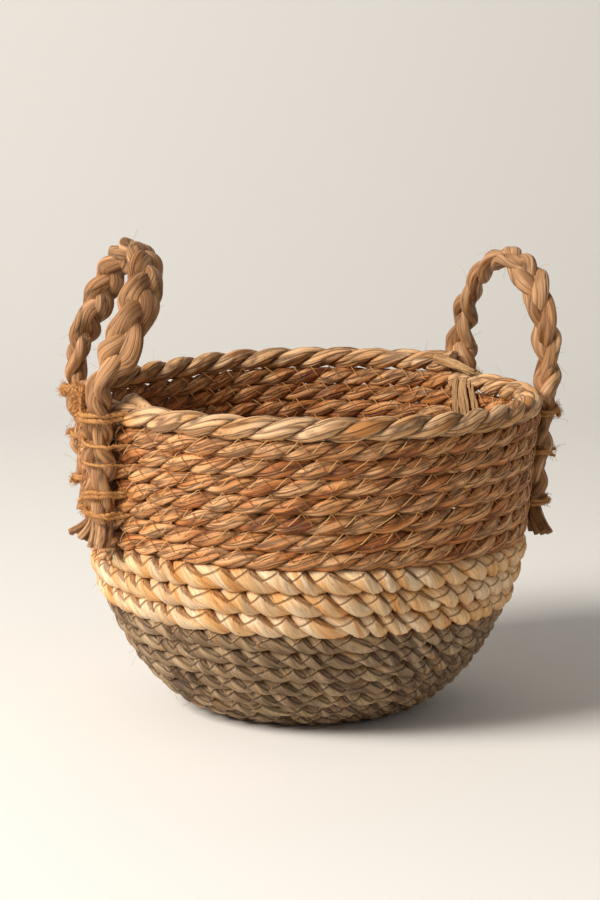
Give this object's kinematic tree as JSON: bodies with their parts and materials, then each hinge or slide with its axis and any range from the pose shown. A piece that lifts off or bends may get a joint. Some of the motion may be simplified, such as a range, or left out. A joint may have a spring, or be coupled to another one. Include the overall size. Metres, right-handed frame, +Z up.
{
  "type": "storage basket",
  "caption": "Round open basket coiled from twisted leaf rope in grey, cream and brown bands, with a thick rim and a plaited loop handle tied to each side.",
  "frame": {"origin": "centre of the base on the floor", "axes": "+Z up out of the mouth, +X towards the right handle's side, -Y towards the side that the picture shows"},
  "size_m": [0.3263, 0.3019, 0.303],
  "materials": {
    "grey_husk": "matt",
    "cream_husk": "satin",
    "brown_leaf": "satin",
    "rim_leaf": "satin",
    "plait_leaf": "matt",
    "twine": "matt",
    "pale_leaf": "satin"
  },
  "bodies": {
    "basket": {"base_coil": "grey_husk", "grey_coil": "grey_husk", "cream_coil": "cream_husk", "brown_coil": "brown_leaf", "rim_rope": "rim_leaf", "splice_leaf_1": "pale_leaf", "splice_leaf_2": "pale_leaf", "splice_leaf_3": "pale_leaf", "splice_leaf_4": "pale_leaf", "left_front_leg": "plait_leaf", "left_front_tie_1": "twine", "left_front_tie_2": "twine", "left_front_tie_3": "twine", "left_front_tie_4": "twine", "left_front_tie_5": "twine", "left_front_tassel": "plait_leaf", "left_rear_leg": "plait_leaf", "left_rear_tie_1": "twine", "left_rear_tie_2": "twine", "left_rear_tie_3": "twine", "left_rear_tassel": "plait_leaf", "right_near_leg": "plait_leaf", "right_near_tie_1": "twine", "right_near_tie_2": "twine", "right_near_tie_3": "twine", "right_near_tassel": "plait_leaf", "right_rear_leg": "plait_leaf", "right_rear_tie_1": "twine", "right_rear_tie_2": "twine", "right_rear_tie_3": "twine", "right_rear_tassel": "plait_leaf"},
    "left_handle": {"left_handle_loop": "plait_leaf"},
    "right_handle": {"right_handle_loop": "plait_leaf"}
  },
  "joints": [
    {"name": "left_handle_bend", "type": "hinge", "parent": "basket", "child": "left_handle", "pos_m": [-0.13864, -0.02497, 0.21892], "axis": [-0.1766, 0.9843, 0], "range_deg": [-60, 25]},
    {"name": "right_handle_bend", "type": "hinge", "parent": "basket", "child": "right_handle", "pos_m": [0.13121, 0.06996, 0.21892], "axis": [0.4619, -0.8869, 0], "range_deg": [-45, 45]}
  ]
}
